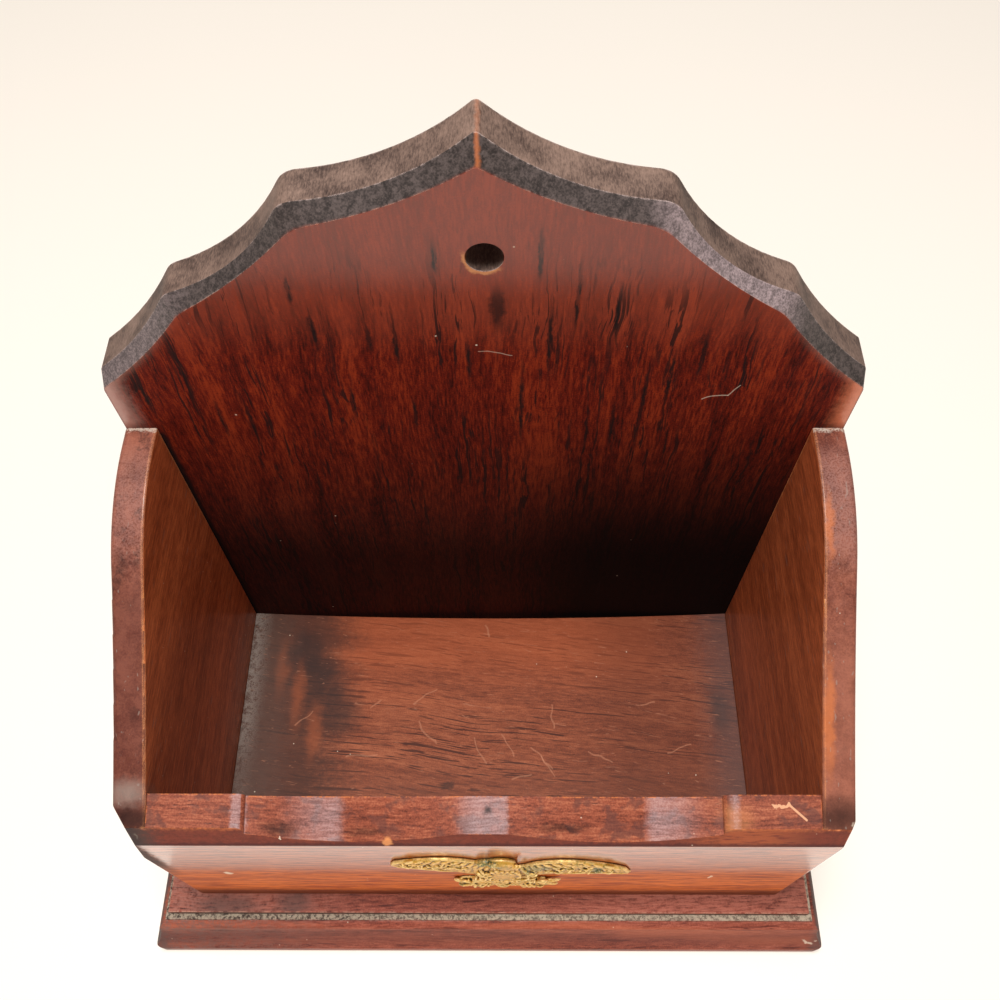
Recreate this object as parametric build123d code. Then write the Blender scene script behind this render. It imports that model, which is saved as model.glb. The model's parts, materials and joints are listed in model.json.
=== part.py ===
from build123d import *
import math
import os

# A hanging letter box in stained hardwood: a scalloped back board, two side boards, a waved
# front board rebated over their ends, a floor let in between them and a moulded base.
# All sizes are millimetres. X runs left to right, Y from the front of the box to the wall
# behind it, Z up. The origin is the middle of the base's underside.

# Boards
box_width = 187.0           # outside, over both side boards
well_depth = 83.7           # inside, back board to front board
side_thickness = 8.5
floor_thickness = 8.0
back_thickness = 12.5
front_thickness = 10.7
base_thickness = 23.0
back_inset = 0.5            # the back board is cut narrower than the box by this at each edge
front_lip = 2.8             # what the front board's rebate leaves before the side boards' ends
floor_gap = 0.15            # play at each end of the floor and along its front edge
floor_hollow = 2.0          # the floor's back edge is planed hollow by this much
eased = 0.5                 # rounding of the inner arrises
outer_eased = 1.4           # rounding of the side boards' outer top arrises
corner_round = 2.0          # rounding of the front board's upright corners
end_round = 2.6             # and of the two ends of its top
worn_back = {-1: 8.0, 1: 5.2}       # wear on the left (-1) and right (1) top front corners: how far
worn_across = {-1: 4.2, 1: 1.7}     # it runs back along the rim, in along the bevel's foot
worn_down = {-1: 25.0, 1: 12.5}     # and down the corner from there

# Side boards: heights stand on the base
rim_rear_height = 126.5
rim_front_height = 83.0
rim_flat = 5.0              # level run before the rim turns down
rim_crown_radius = 54.0
rim_crown_angle = 34.0      # degrees that the crown turns through

# Front board
front_top_slope = 19.0      # degrees, falling towards the front
front_bevel_drop = 7.4      # height of the bevel on the lip
wave_half_width = 60.5      # from the middle to the shoulder of the lowered top
wave_drop = 2.0             # how far the lowered top lies below the ends
wave_land = 12.6            # width of the level land in the middle
wave_shoulder = 1.8         # rounding of the two shoulders
scallop_inner_sag = 0.6     # depth of the front board's scallops at its inner edge
scallop_outer_sag = 2.9     # and at its face

# Back board: heights stand on the base, distances run out from the middle
peak_height = 217.2
cusp_places = [(39.7, 200.1), (70.1, 173.6)]
ear_height = 147.4
scallop_sags = [3.8, 4.0, 1.6]
peak_round = 1.2
cusp_round = 6.0
ear_round = 2.0
bevel_depth = 3.3           # how far back into the board's edge the bevel runs
bevel_setbacks = [5.6, 4.6, 4.2, 3.9]   # how far in from peak, cusps and ear its foot lies
bevel_sags = [2.0, 1.4, 1.2]            # the foot is a smoother line than the edge itself
bevel_round = 12.0

# Hanging hole in the back board
hole_diameter = 8.2
hole_height = 188.2
hole_shift = 1.2            # the hole was bored a little right of the middle

# Base moulding, from the top edge outwards and down
base_side_margin = 8.6      # flat left beside each side board
base_front_margin = 5.6     # flat left before the front board
quirk_drop = 3.2
quirk_ledge = 1.8
bead_step = 0.8
bead_width = 2.4
bead_drop = 1.3
cove_width = 4.5
cove_drop = 12.2
bead_middle = (0.62, 0.3)   # where the middle of each curve lies, in its own widths and drops
cove_middle = (0.36, 0.58)
base_corner_round = 2.2
end_moulding_share = 0.87   # the end mouldings stand out less than the front one

# Emblem on the front board: a spread eagle cast in low relief
emblem_shift = 4.6          # its middle, right of the middle of the board
emblem_height = 41.5        # and above the base
emblem_tilt = -4.0          # degrees, as it was set on by hand
feather_relief = 0.9        # how far each layer stands off the board
covert_relief = 1.5
body_relief = 2.4
head_relief = 2.2
right_wing_reach = 36.0
left_wing_reach = 31.0
left_wing_lift = 5.0        # the left wing's tip is carried higher
wing_lead = [(4.5, 10.5), (9.0, 16.4), (16.0, 19.0), (25.5, 16.3), (36.0, 5.0)]
feather_tips = [(34.5, 1.5), (29.5, 2.6), (23.5, 3.4), (17.5, 0.8), (11.5, -2.4), (4.5, -5.0)]
feather_bulge = 0.9
covert_share = 0.5          # share of the wing's depth that the coverts take
body_width = 11.2
body_length = 24.0
body_height = 3.5           # its middle, above the emblem's middle
head_width = 9.2
head_place = (-1.6, 16.6)
crown_share = 0.55          # size of the rounded parts' crowns, as a share of their outlines
beak_length = 4.2
beak_width = 3.6
tail_length = 15.0
tail_width = 15.0
tail_root_width = 7.5
tail_bulge = 1.9
tail_top = -4.5
leaf_length = 8.5
leaf_width = 3.6
sprig_reach = 8.2           # from the middle to the root of each sprig
sprig_height = -12.0
sprig_stalk = 4.0
leaf_angles = [75, 30, -15, -60]
prong_diameter = 1.6
prong_length = 4.0
prong_spread = 14.0         # distance between the two prongs

# Fasteners
brad_width = 1.8            # at the head; the brads are stamped from sheet and taper to a blunt point
brad_tip = 0.7
brad_thickness = 1.2
brad_head_overhang = 0.8
brad_head_height = 0.9
back_brad_length = 30.0
side_brad_length = 24.0
screw_diameter = 3.6
screw_length = 19.0
screw_point = 4.0
screw_head_diameter = 7.0
screw_head_height = 2.6
screw_slot_width = 0.9
screw_slot_depth = 1.1
screw_sink = 9.5            # depth of the bore that sets each screw's head into the base
fastener_gap = 0.05         # play round each brad, screw and prong
back_brad_heights = [16.0, 62.0, 108.0]
side_brad_heights = [22.0, 60.0]
floor_brad_inset = 22.0     # from the well's front and back
screw_inset_x = 22.0        # from the well's ends
screw_inset_y = 18.0        # from the well's front and back

# Places that follow from the sizes
half_box = box_width / 2
half_well = half_box - side_thickness
moulding_width = quirk_ledge + bead_width + cove_width
end_edge = half_box + base_side_margin
half_base = end_edge + end_moulding_share * moulding_width
base_depth = (back_thickness + well_depth + front_thickness
              + base_front_margin + moulding_width)
rear_y = base_depth / 2
back_face_y = rear_y - back_thickness
front_inner_y = back_face_y - well_depth
front_face_y = front_inner_y - front_thickness
seam_y = front_face_y + front_lip
well_middle_y = (front_inner_y + back_face_y) / 2
base_top = base_thickness
front_slope = math.tan(math.radians(front_top_slope))
bevel_foot = base_top + rim_front_height - front_bevel_drop
same_place = 0.01           # two points nearer than this are one

upward = (0, 0, 1)
forward = (0, -1, 0)
backward = (0, 1, 0)

tilt = math.radians(emblem_tilt)
emblem_plane = Plane(origin=(emblem_shift, front_face_y, base_top + emblem_height),
                     x_dir=(math.cos(tilt), 0, math.sin(tilt)), z_dir=forward)
prong_places = [emblem_plane.from_local_coords((side * prong_spread / 2, 0, 0)) for side in (-1, 1)]


# Fasteners, and the holes they sit in

def round_bar(place, direction, radius, length):
    """A prong that runs out from place, or a hole where it is cut away."""
    end = (Align.CENTER, Align.CENTER, Align.MIN)
    return Plane(origin=place, z_dir=direction) * Cylinder(radius, length, align=end)


def back_brads():
    """Brads through the back board into the middle of the side boards' ends."""
    x = half_box - side_thickness / 2
    return [((side * x, rear_y, base_top + z), forward, back_brad_length)
            for side in (-1, 1) for z in back_brad_heights]


def side_brads():
    """Brads through the side boards into the front board's tongue and the floor's ends."""
    tongue_y = (seam_y + front_inner_y) / 2
    step_y = well_depth / 2 - floor_brad_inset
    places = [(tongue_y, base_top + z) for z in side_brad_heights]
    places += [(well_middle_y + sign * step_y, base_top + floor_thickness / 2) for sign in (-1, 1)]
    return [((side * half_box, y, z), (-side, 0, 0), side_brad_length)
            for side in (-1, 1) for y, z in places]


def base_screws():
    """Screws up through the base into the floor: where each head's underside bears."""
    step_x = half_well - screw_inset_x
    step_y = well_depth / 2 - screw_inset_y
    return [(sx * step_x, well_middle_y + sy * step_y, screw_sink) for sx in (-1, 1) for sy in (-1, 1)]


def cut_brad(place, direction, length, gap=0):
    """A tapered brad with its head on one side, flush at place, or the slot it makes."""
    wide = brad_width / 2
    tip = brad_tip / 2
    outline = Polygon((-wide, 0), (wide + brad_head_overhang, 0), (wide + brad_head_overhang, brad_head_height),
                      (wide, brad_head_height), (tip, length), (-tip, length), align=None)
    if gap:
        outline = offset(outline, amount=gap, kind=Kind.INTERSECTION)
    brad = extrude(Plane.XZ * outline, (brad_thickness / 2 + gap), both=True)
    return Plane(origin=place, x_dir=upward, z_dir=direction) * brad


def drill_for_brads(board, brads):
    """The board less the slots that its brads make."""
    for place, direction, length in brads:
        board -= cut_brad(place, direction, length, fastener_gap)
    return board


def drill_for_screws(board):
    """The board less each screw's hole and the deeper bore that its head goes up."""
    for x, y, z in base_screws():
        board -= round_bar((x, y, 0), upward, screw_head_diameter / 2 + fastener_gap, screw_sink)
        board -= round_bar((x, y, z), upward, screw_diameter / 2 + fastener_gap, screw_length + fastener_gap)
    return board


def make_screw(place):
    """A flat-topped wood screw, driven upwards, with its slot below."""
    head = screw_head_diameter / 2
    shank = screw_diameter / 2
    outline = Polyline((0, -screw_head_height), (head, -screw_head_height), (head, 0), (shank, 0),
                       (shank, screw_length - screw_point), (0, screw_length), (0, -screw_head_height))
    screw = revolve(Plane.XZ * make_face(outline), Axis.Z)
    screw -= Pos(0, 0, -screw_head_height) * Box(screw_head_diameter, screw_slot_width, 2 * screw_slot_depth)
    return Pos(*place) * screw


# Base

def moulding_edge(edge, outwards):
    """The base's moulded edge, from its top corner down to its foot."""
    def at(out, down):
        return (edge + outwards * out, base_top - down)

    bead_top = quirk_drop + bead_step
    bead_out = quirk_ledge + bead_width
    bead_foot = bead_top + bead_drop
    Polyline(at(0, 0), at(0, quirk_drop), at(quirk_ledge, quirk_drop), at(quirk_ledge, bead_top))
    ThreePointArc(at(quirk_ledge, bead_top),
                  at(quirk_ledge + bead_middle[0] * bead_width, bead_top + bead_middle[1] * bead_drop),
                  at(bead_out, bead_foot))
    ThreePointArc(at(bead_out, bead_foot),
                  at(bead_out + cove_middle[0] * cove_width, bead_foot + cove_middle[1] * cove_drop),
                  at(moulding_width, bead_foot + cove_drop))
    Line(at(moulding_width, bead_foot + cove_drop), at(moulding_width, base_top))


def make_base():
    """Moulded on the front and both ends: the two mouldings meet in a mitre."""
    front_edge = front_face_y - base_front_margin
    with BuildPart() as across:
        with BuildSketch(Plane.YZ.offset(-half_base)):
            with BuildLine():
                moulding_edge(front_edge, -1)
                Polyline((front_edge - moulding_width, 0), (rear_y, 0), (rear_y, base_top),
                         (front_edge, base_top))
            make_face()
        extrude(amount=2 * half_base)
    with BuildPart() as along:
        with BuildSketch(Plane.XZ.offset(-base_depth)):
            with BuildLine():
                moulding_edge(end_edge, end_moulding_share)
                moulding_edge(-end_edge, -end_moulding_share)
                Line((half_base, 0), (-half_base, 0))
                Line((-end_edge, base_top), (end_edge, base_top))
            make_face()
        extrude(amount=2 * base_depth)
    with BuildPart() as plan:
        Box(2 * half_base, base_depth, base_top, align=(Align.CENTER, Align.CENTER, Align.MIN))
        fillet(plan.edges().filter_by(Axis.Z).group_by(Axis.Y)[0], base_corner_round)
    return drill_for_screws(across.part & along.part & plan.part)


# Boards

def make_floor():
    """Let in between the sides and the front, its back edge planed hollow."""
    half = half_well - floor_gap
    front = front_inner_y + floor_gap
    with BuildPart() as floor:
        with BuildSketch(Plane.XY.offset(base_top)):
            with BuildLine():
                Polyline((-half, back_face_y), (-half, front), (half, front), (half, back_face_y))
                ThreePointArc((-half, back_face_y), (0, back_face_y - floor_hollow), (half, back_face_y))
            make_face()
        extrude(amount=floor_thickness)
    return drill_for_brads(drill_for_screws(floor.part), side_brads())


def back_outline(corners, sags, cusp_rounding, at_y):
    """The back board's outline: scallops between rounded cusps, out from the peak to each ear."""
    with BuildSketch(Plane.XZ.offset(-at_y)) as outline:
        with BuildLine():
            for start, end, sag in zip(corners, corners[1:], sags):
                chord = end - start
                inwards = Vector(chord.Y, -chord.X).normalized()
                ThreePointArc(start, (start + end) / 2 + inwards * sag, end)
            Polyline(corners[-1], (corners[-1].X, base_top), (0, base_top))
            mirror(about=Plane.YZ)
        make_face()
        for places, radius in ((corners[:1], peak_round), (corners[1:-1], cusp_rounding),
                               (corners[-1:], ear_round)):
            fillet([corner for corner in outline.vertices()
                    if any((Vector(abs(corner.X), corner.Y) - place).length < same_place
                           for place in places)], radius)
    return outline.sketch


def bevel_corners(corners):
    """The corners of the bevel's foot: straight below the peak and ear, square in at the cusps."""
    inwards = [Vector(after.Y - before.Y, before.X - after.X).normalized()
               for before, after in zip(corners, corners[1:])]
    below = Vector(0, -1)
    ways = [below] + [(one + other).normalized() for one, other in zip(inwards, inwards[1:])] + [below]
    return [corner + way * setback for corner, way, setback in zip(corners, ways, bevel_setbacks)]


def make_back():
    """Three scallops on each side of the peak, bevelled on the face, bored for hanging.

    The bevel is rasped to a smoother line than the scallops, so it is widest at the cusps.
    """
    corners = [Vector(x, base_top + z)
               for x, z in [(0, peak_height)] + cusp_places + [(half_box - back_inset, ear_height)]]
    foot = back_outline(bevel_corners(corners), bevel_sags, bevel_round, back_face_y)
    edge = back_outline(corners, scallop_sags, cusp_round, back_face_y + bevel_depth)
    board = extrude(edge, bevel_depth - back_thickness) + loft([foot, edge], ruled=True)
    hole = round_bar((hole_shift, rear_y, base_top + hole_height), forward,
                     hole_diameter / 2, back_thickness)
    return drill_for_brads(board - hole, back_brads())


def worn_corner(side):
    """What wear has taken off a top front corner: all that lies beyond a slanting plane."""
    back = worn_back[side]
    on_rim = Vector(side * half_box, front_face_y + back,
                    base_top + rim_front_height + (back - front_lip) * front_slope)
    on_bevel = Vector(side * (half_box - worn_across[side]), front_face_y, bevel_foot)
    on_corner = Vector(side * half_box, front_face_y, bevel_foot - worn_down[side])
    outwards = (on_bevel - on_rim).cross(on_corner - on_rim) * side
    reach = rim_front_height
    return Plane(origin=on_rim, z_dir=outwards) * Box(
        reach, reach, reach, align=(Align.CENTER, Align.CENTER, Align.MIN))


def make_side(side):
    """The rim runs level, turns down over a crown and falls in a slack hollow to the front."""
    rear_top = (back_face_y, base_top + rim_rear_height)
    crown_top = (back_face_y - rim_flat, base_top + rim_rear_height)
    front_top = (seam_y, base_top + rim_front_height)
    with BuildPart() as board:
        with BuildSketch(Plane.YZ.offset(half_well)):
            with BuildLine():
                crown = JernArc(crown_top, (-1, 0), rim_crown_radius, rim_crown_angle)
                TangentArc(crown @ 1, front_top, tangent=crown % 1)
                Polyline(front_top, (seam_y, base_top), (back_face_y, base_top), rear_top, crown_top)
            make_face()
        extrude(amount=side_thickness)
        for x, rounding in ((half_box, outer_eased), (half_well, eased)):
            rim = board.edges().filter_by(
                lambda edge: edge.bounding_box().min.Z > base_top + rim_front_height - outer_eased
                and abs(edge.bounding_box().min.X - x) < same_place
                and abs(edge.bounding_box().max.X - x) < same_place)
            fillet(rim, rounding)
    body = board.part if side > 0 else board.part.mirror(Plane.YZ)
    return drill_for_brads(body - worn_corner(side), back_brads() + side_brads())


def front_section(y, sag):
    """The front board's upright section at y: level ends, and two scallops beside a land."""
    top = base_top + rim_front_height + (y - seam_y) * front_slope
    low = top - wave_drop
    land = wave_land / 2
    shoulder = wave_half_width + wave_shoulder
    with BuildSketch(Plane.XZ.offset(-y)) as section:
        with BuildLine():
            Polyline((0, base_top), (half_box, base_top), (half_box, top - end_round))
            TangentArc((half_box, top - end_round), (half_box - end_round, top), tangent=(0, 1))
            Line((half_box - end_round, top), (shoulder, top))
            TangentArc((shoulder, top), (wave_half_width, low), tangent=(-1, 0))
            ThreePointArc((wave_half_width, low), ((wave_half_width + land) / 2, low - sag), (land, low))
            Line((land, low), (0, low))
            mirror(about=Plane.YZ)
        make_face()
    return section.sketch


def make_front():
    """Waved along the top, bevelled on the lip and rebated over the side boards' ends."""
    seam_top = Vector(seam_y, base_top + rim_front_height)
    foot = Vector(front_face_y, bevel_foot)
    beyond = seam_top + (seam_top - foot)
    with BuildPart() as front:
        loft([front_section(front_inner_y, scallop_inner_sag), front_section(front_face_y, scallop_outer_sag)],
             ruled=True)
        with BuildSketch(Plane.XY.offset(base_top)) as plan:
            with Locations((0, front_face_y)):
                Rectangle(box_width, front_thickness, align=(Align.CENTER, Align.MIN))
            fillet(plan.vertices().group_by(Axis.Y)[0], corner_round)
        extrude(amount=2 * rim_front_height, mode=Mode.INTERSECT)
        with BuildSketch(Plane.YZ.offset(-half_box)):
            Polygon(foot, beyond, (2 * front_face_y - beyond.X, beyond.Y),
                    (2 * front_face_y - beyond.X, foot.Y), align=None)
        extrude(amount=box_width, mode=Mode.SUBTRACT)
        for side in (-1, 1):
            with Locations((side * half_box, seam_y, base_top)):
                Box(2 * side_thickness, 2 * front_thickness, 2 * rim_front_height,
                    align=(Align.CENTER, Align.MIN, Align.MIN), mode=Mode.SUBTRACT)
    body = front.part - worn_corner(-1) - worn_corner(1)
    for place in prong_places:
        body -= round_bar(place, backward, prong_diameter / 2 + fastener_gap, prong_length + fastener_gap)
    return drill_for_brads(body, side_brads())


# Emblem: drawn in its own plane, X to the right, Y up, Z off the board

def wing_point(point, reach, lift):
    """A point of the wing, drawn for the longer right one, on a wing of this reach."""
    share = point[0] / right_wing_reach
    return (share * reach, point[1] + lift * share ** 2)


def make_wing(side, reach, lift):
    """Flight feathers with rounded tips, and a higher layer of coverts along the leading edge."""
    lead = [wing_point(point, reach, lift) for point in wing_lead]
    tips = [wing_point(point, reach, lift) for point in feather_tips]
    with BuildPart() as wing:
        with BuildSketch():
            with BuildLine():
                Spline(*lead)
                Line(lead[-1], tips[0])
                for start, end in zip(tips, tips[1:]):
                    middle = ((start[0] + end[0]) / 2, (start[1] + end[1]) / 2 - feather_bulge)
                    ThreePointArc(start, middle, end)
                Line(tips[-1], lead[0])
            make_face()
        extrude(amount=feather_relief)
        with BuildSketch(Plane.XY.offset(feather_relief)):
            with BuildLine():
                Spline(*lead)
                root = Vector(*lead[0]) + (Vector(*tips[-1]) - Vector(*lead[0])) * covert_share
                middle = Vector(*lead[2]) + (Vector(*tips[2]) - Vector(*lead[2])) * covert_share
                ThreePointArc(lead[-1], middle, root)
                Line(root, lead[0])
            make_face()
        extrude(amount=covert_relief - feather_relief)
    return wing.part if side > 0 else wing.part.mirror(Plane.YZ)


def mound(width, length, relief):
    """An oval that slopes in from its outline to a smaller crown."""
    foot = Ellipse(width / 2, length / 2)
    crown = Ellipse(crown_share * width / 2, crown_share * length / 2)
    return loft([foot, Pos(0, 0, relief) * crown], ruled=True)


def make_beak():
    """A wedge that points out of the head to the left."""
    reach = head_width / 2 + beak_length
    outline = Polygon((0, beak_width / 2), (-reach, 0), (0, -beak_width / 2), align=None)
    return Pos(*head_place, 0) * extrude(outline, covert_relief)


def make_tail():
    """A fan that widens downwards to a rounded end."""
    root = tail_root_width / 2
    half_end = tail_width / 2
    end = tail_top - tail_length
    outline = Polyline((half_end, end), (root, tail_top), (-root, tail_top), (-half_end, end))
    rounded = ThreePointArc((-half_end, end), (0, end - tail_bulge), (half_end, end))
    return extrude(make_face(outline + rounded), covert_relief)


def make_sprig():
    """Leaves held in the right claw, spreading from one root."""
    sprig = Pos(sprig_reach / 2, sprig_height, 0) * extrude(Rectangle(sprig_reach, sprig_stalk), feather_relief)
    root = Pos(sprig_reach, sprig_height, 0)
    upper = ThreePointArc((0, 0), (leaf_length / 2, leaf_width / 2), (leaf_length, 0))
    lower = ThreePointArc((leaf_length, 0), (leaf_length / 2, -leaf_width / 2), (0, 0))
    leaf = make_face(upper + lower)
    for angle in leaf_angles:
        sprig += extrude(root * Rot(0, 0, angle) * leaf, feather_relief)
    return sprig


def make_emblem():
    """One casting: wings, body, turned head, tail and two sprigs, with prongs behind."""
    emblem = make_wing(1, right_wing_reach, 0) + make_wing(-1, left_wing_reach, left_wing_lift)
    emblem += Pos(0, body_height, 0) * mound(body_width, body_length, body_relief)
    emblem += Pos(*head_place, 0) * mound(head_width, head_width, head_relief)
    sprig = make_sprig()
    emblem += make_beak() + make_tail() + sprig + sprig.mirror(Plane.YZ)
    for side in (-1, 1):
        emblem += round_bar((side * prong_spread / 2, 0, 0), (0, 0, -1), prong_diameter / 2, prong_length)
    return emblem_plane * emblem


pieces = {
    "base_plinth": make_base(),
    "floor_board": make_floor(),
    "back_board": make_back(),
    "left_side": make_side(-1),
    "right_side": make_side(1),
    "front_board": make_front(),
    "eagle_emblem": make_emblem(),
    "back_brads": Compound([cut_brad(*brad) for brad in back_brads()]),
    "side_brads": Compound([cut_brad(*brad) for brad in side_brads()]),
    "base_screws": Compound([make_screw(place) for place in base_screws()]),
}

os.makedirs("parts", exist_ok=True)
for name, piece in pieces.items():
    export_step(piece, f"parts/{name}.step")
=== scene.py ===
import bmesh
import bpy
import json
import math
import random
from functools import reduce
from mathutils import Matrix, Vector


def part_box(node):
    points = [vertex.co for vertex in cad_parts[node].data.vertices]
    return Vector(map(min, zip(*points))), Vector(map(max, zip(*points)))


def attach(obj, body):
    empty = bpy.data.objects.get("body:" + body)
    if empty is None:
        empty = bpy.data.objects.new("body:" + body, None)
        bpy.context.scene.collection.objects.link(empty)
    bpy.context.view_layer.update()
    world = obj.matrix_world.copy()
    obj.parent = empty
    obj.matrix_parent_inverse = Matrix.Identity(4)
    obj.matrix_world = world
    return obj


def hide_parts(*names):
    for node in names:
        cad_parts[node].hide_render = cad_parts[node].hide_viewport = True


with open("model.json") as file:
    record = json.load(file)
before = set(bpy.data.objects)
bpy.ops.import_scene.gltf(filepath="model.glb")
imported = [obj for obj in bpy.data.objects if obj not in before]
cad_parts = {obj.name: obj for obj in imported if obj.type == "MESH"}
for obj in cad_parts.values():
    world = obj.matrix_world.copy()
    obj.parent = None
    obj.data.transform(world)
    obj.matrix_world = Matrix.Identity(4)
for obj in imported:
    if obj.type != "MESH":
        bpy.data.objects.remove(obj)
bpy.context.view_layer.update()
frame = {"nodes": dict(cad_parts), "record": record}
boards = frame["nodes"]
print("frame loaded:", len(boards), "pieces")

mm = 0.001

# Where the boards end in the frame, in mm
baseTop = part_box("base_plinth")[1].z / mm
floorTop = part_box("floor_board")[1].z / mm
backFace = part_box("back_board")[0].y / mm
leftOuter, leftInner = (corner.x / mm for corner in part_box("left_side"))
rightInner, rightOuter = (corner.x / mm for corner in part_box("right_side"))
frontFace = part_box("front_board")[0].y / mm
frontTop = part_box("front_board")[1].z / mm
bevelFoot = 98.6  # where the front board's bevel starts


def addObject(name, data):
    made = bpy.data.objects.new(name, data)
    bpy.context.scene.collection.objects.link(made)
    return made


def cover(node, material):
    materials = boards[node].data.materials
    materials.clear()
    materials.append(material)


class Signal:
    # a socket of a material, so that sums on it can be written as sums
    def __init__(self, sheet, socket):
        self.sheet = sheet
        self.socket = socket

    def maths(self, operation, first, second):
        return self.sheet.node("Math", {"operation": operation}, {0: first, 1: second})

    def __add__(self, other):
        return self.maths("ADD", self, other)

    def __radd__(self, other):
        return self.maths("ADD", other, self)

    def __sub__(self, other):
        return self.maths("SUBTRACT", self, other)

    def __rsub__(self, other):
        return self.maths("SUBTRACT", other, self)

    def __mul__(self, other):
        return self.maths("MULTIPLY", self, other)

    def __abs__(self):
        return self.maths("ABSOLUTE", self, 0)

    def larger(self, other):
        return self.maths("MAXIMUM", self, other)


class Sheet:
    # the nodes of one material
    def __init__(self, name):
        self.material = bpy.data.materials.new(name)
        self.material.use_nodes = True
        self.tree = self.material.node_tree
        self.tree.nodes.clear()

    def node(self, kind, settings=None, inputs=None, output=0):
        made = self.tree.nodes.new("ShaderNode" + kind)
        for name, value in (settings or {}).items():
            if name == "stops":
                ramp = made.color_ramp.elements
                while len(ramp) < len(value):
                    ramp.new(1)
                for stop, (place, colour) in zip(ramp, value):
                    stop.position = place
                    stop.color = colour
            else:
                setattr(made, name, value)
        for name, value in (inputs or {}).items():
            if isinstance(value, Signal):
                self.tree.links.new(value.socket, made.inputs[name])
            else:
                made.inputs[name].default_value = value
        return Signal(self, made.outputs[output]) if made.outputs else None

    def millimetres(self):
        # the place on the object
        where = self.node("TexCoord", {}, {}, "Object")
        return self.scaled(where, 1 / mm)

    def scaled(self, vector, amount):
        return self.node("VectorMath", {"operation": "SCALE"}, {"Vector": vector, "Scale": amount})

    def vector(self, operation, *values, output=0):
        return self.node("VectorMath", {"operation": operation}, dict(enumerate(values)), output)

    def blend(self, share, colourA, colourB):
        return self.node("Mix", {"data_type": "RGBA"}, {0: share, 6: colourA, 7: colourB}, 2)

    def step(self, value, low, high):
        # 0 below low, 1 above high and a smooth turn between
        return self.node("MapRange", {"interpolation_type": "SMOOTHSTEP"},
                         {"Value": value, "From Min": low, "From Max": high})

    def noise(self, place, size, detail=2.0, roughness=0.5, twist=0.0):
        # size is how large one blotch is, in the units of place
        return self.node("TexNoise", {},
                         {"Vector": place, "Scale": 1 / size, "Detail": detail,
                          "Roughness": roughness, "Distortion": twist})

    def parts(self, vector):
        split = self.node("SeparateXYZ", {}, {0: vector})
        outputs = split.socket.node.outputs
        return [Signal(self, outputs[i]) for i in range(3)]

    def rounded(self, radius, samples):
        # the normal, as if the arrises were rounded over by this many mm
        return self.node("Bevel", {"samples": samples}, {"Radius": radius * mm})

    def bump(self, height, strength, most, normal=None):
        # a normal that follows the height, which is most mm where it is 1
        values = {"Strength": strength, "Distance": most * mm, "Height": height}
        if normal is not None:
            values["Normal"] = normal
        return self.node("Bump", {}, values)

    def blob(self, place, centre, reach, soft=0.35):
        # 1 inside an oval spot of this reach, 0 outside it
        offset = self.vector("SUBTRACT", place, centre)
        share = self.vector("DIVIDE", offset, reach)
        far = self.vector("LENGTH", share, output="Value")
        return self.step(far, 1 + soft, 1 - soft)

    def shade(self, values):
        self.node("OutputMaterial", {}, {0: self.node("BsdfPrincipled", {}, values)})
        return self.material


# Wood: one stained hardwood, cut, stained and worn differently on each board
wood = {
    "stretch": 15.0,  # how much longer than wide the grain is
    "fineStretch": 8.0,
    "sway": 6.0,  # mm that the grain wanders
    "swaySize": 50.0,
    "bandSize": 6.0,
    "fibreSize": 0.6,
    "mottleSize": 1.6,
    "speckSize": 0.45,
    "poreSize": 0.8,
    "raggedSize": 3.0,
    "ragged": 1.6,  # mm that the edges of marks wander
    "arris": 0.35,  # mm, radius of the boards' edges
    "bumpHeight": 0.10,  # mm
    "bumpStrength": 0.6,
    "bandShare": 1.4,  # how much each of these shows in the colour
    "mottleShare": 0.3,
    "speckShare": 0.7,
    "varnishRoughness": 0.28,
    "speckRoughness": 0.22,
    "worn": 0.5,  # roughness of worn, chalky and raw wood
    "chalky": 0.6,
    "raw": 0.62,
    "varnishFrom": 0.62,  # a spot rougher than this has lost its varnish
    "varnishTo": 0.36,
    "varnishBlur": 0.20,
    "varnishIor": 1.5,
    "bareShine": 0.15,
    "soot": (0.006, 0.004, 0.004, 1),
    "rubbed": (0.62, 0.17, 0.045, 1),
    "cream": (0.80, 0.66, 0.50, 1),
    "grime": (0.055, 0.048, 0.042, 1),
    "dust": (0.30, 0.25, 0.21, 1),
    "glue": (0.52, 0.42, 0.34, 1),
    "haze": (0.46, 0.34, 0.34, 1),
}


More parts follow.
